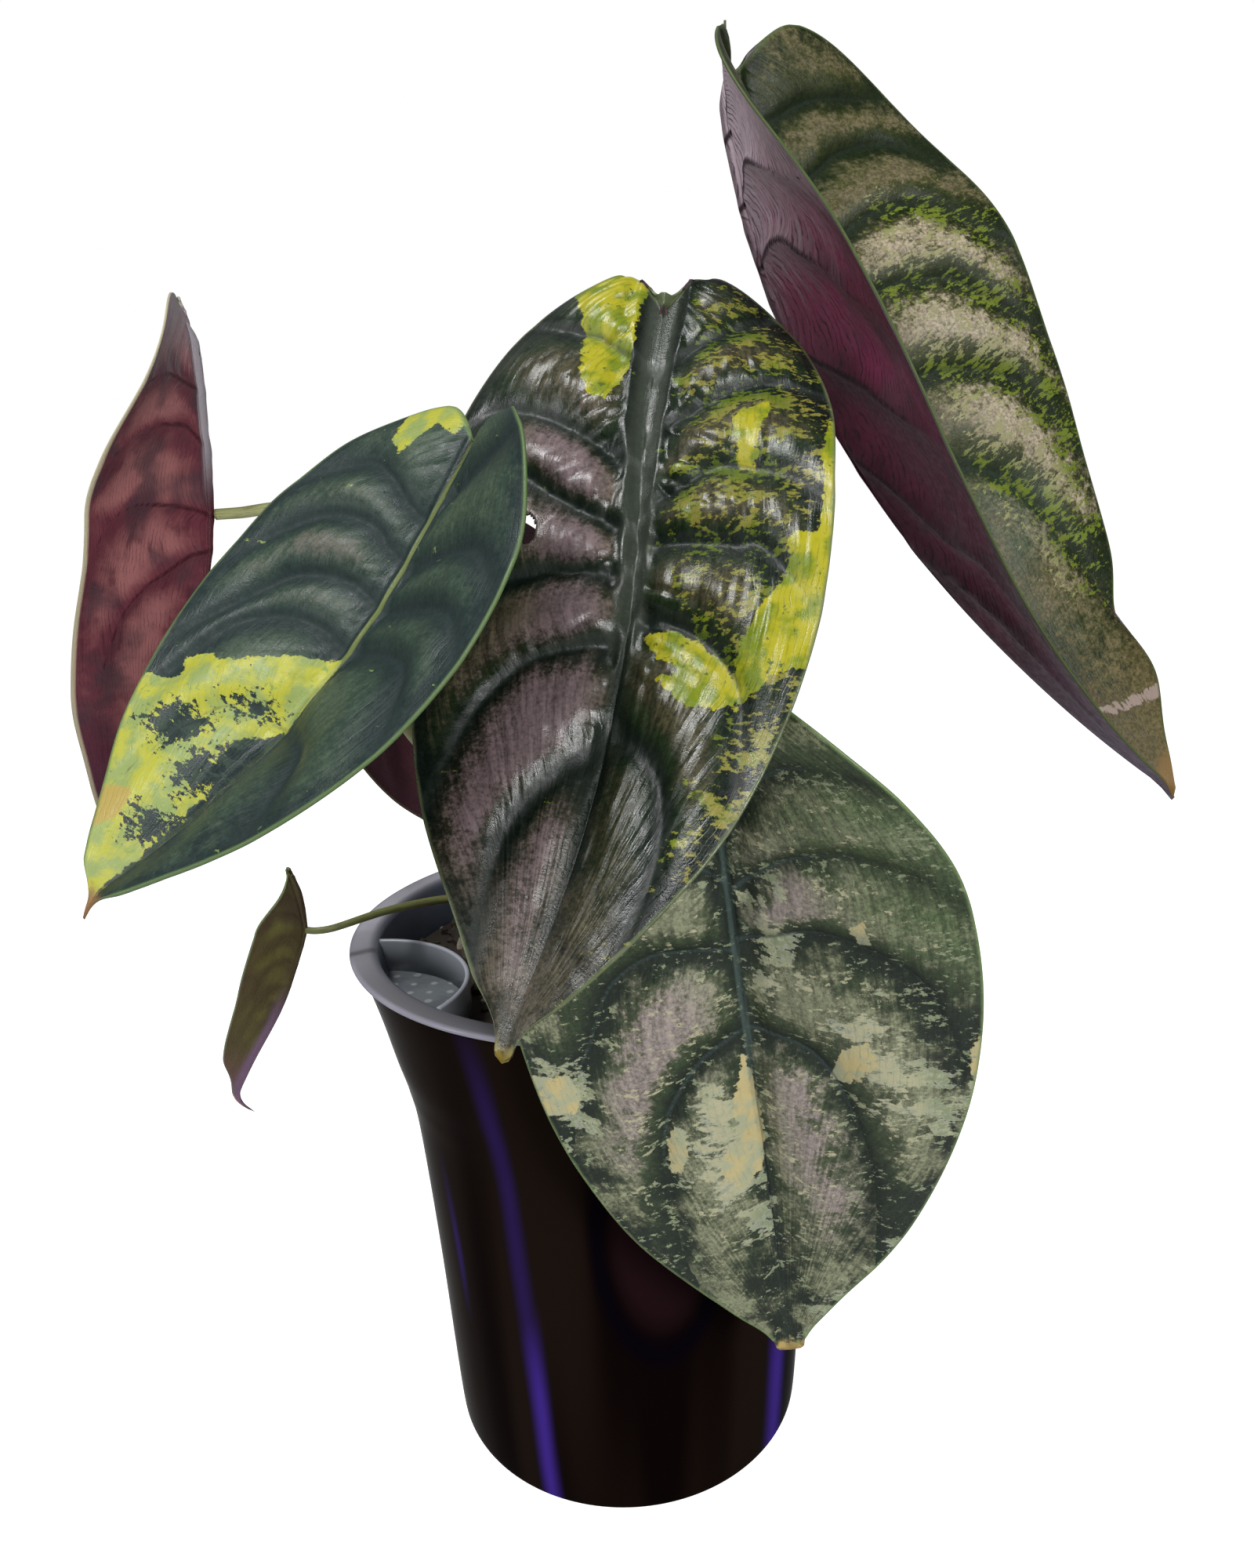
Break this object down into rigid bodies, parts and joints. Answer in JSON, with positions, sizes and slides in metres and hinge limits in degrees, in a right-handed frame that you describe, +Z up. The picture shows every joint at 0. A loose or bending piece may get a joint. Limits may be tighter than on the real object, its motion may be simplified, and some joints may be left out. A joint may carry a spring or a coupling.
{
  "type": "potted alocasia plant",
  "caption": "Potted variegated alocasia: glossy dark round pot, translucent inner pot with a watering pocket, large puckered marbled leaves on thin stalks",
  "frame": {"origin": "centre of the flat base of the outer pot, where it rests", "axes": "+Z up out of the pot, -Y towards the front, where the largest glossy leaf hangs, +X to the right seen from the front"},
  "size_m": [0.2708, 0.2035, 0.3589],
  "materials": {
    "pot_outer": "very glossy, near black with a plum tint",
    "pot_inner": "translucent grey, satin",
    "growing_mix": "rough bark and pumice lumps",
    "crown": "dry fibrous",
    "leaf_upper_right": "waxy leaf, marbled",
    "stalk_upper_right": "smooth waxy stalk",
    "leaf_centre": "waxy leaf, marbled",
    "stalk_centre": "smooth waxy stalk",
    "leaf_left": "waxy leaf, marbled",
    "stalk_left": "smooth waxy stalk",
    "leaf_far_left": "waxy leaf, marbled",
    "stalk_far_left": "smooth waxy stalk",
    "leaf_front_right": "waxy leaf, marbled",
    "stalk_front_right": "smooth waxy stalk",
    "leaf_young": "waxy leaf, marbled",
    "stalk_young": "smooth waxy stalk",
    "leaf_back": "waxy leaf, marbled",
    "stalk_back": "smooth waxy stalk"
  },
  "bodies": {
    "root": {"pot_outer": "pot_outer", "pot_inner": "pot_inner", "growing_mix": "growing_mix", "crown": "crown", "leaf_upper_right": "leaf_upper_right", "stalk_upper_right": "stalk_upper_right", "leaf_centre": "leaf_centre", "stalk_centre": "stalk_centre", "leaf_left": "leaf_left", "stalk_left": "stalk_left", "leaf_far_left": "leaf_far_left", "stalk_far_left": "stalk_far_left", "leaf_front_right": "leaf_front_right", "stalk_front_right": "stalk_front_right", "leaf_young": "leaf_young", "stalk_young": "stalk_young", "leaf_back": "leaf_back", "stalk_back": "stalk_back"}
  },
  "joints": []
}
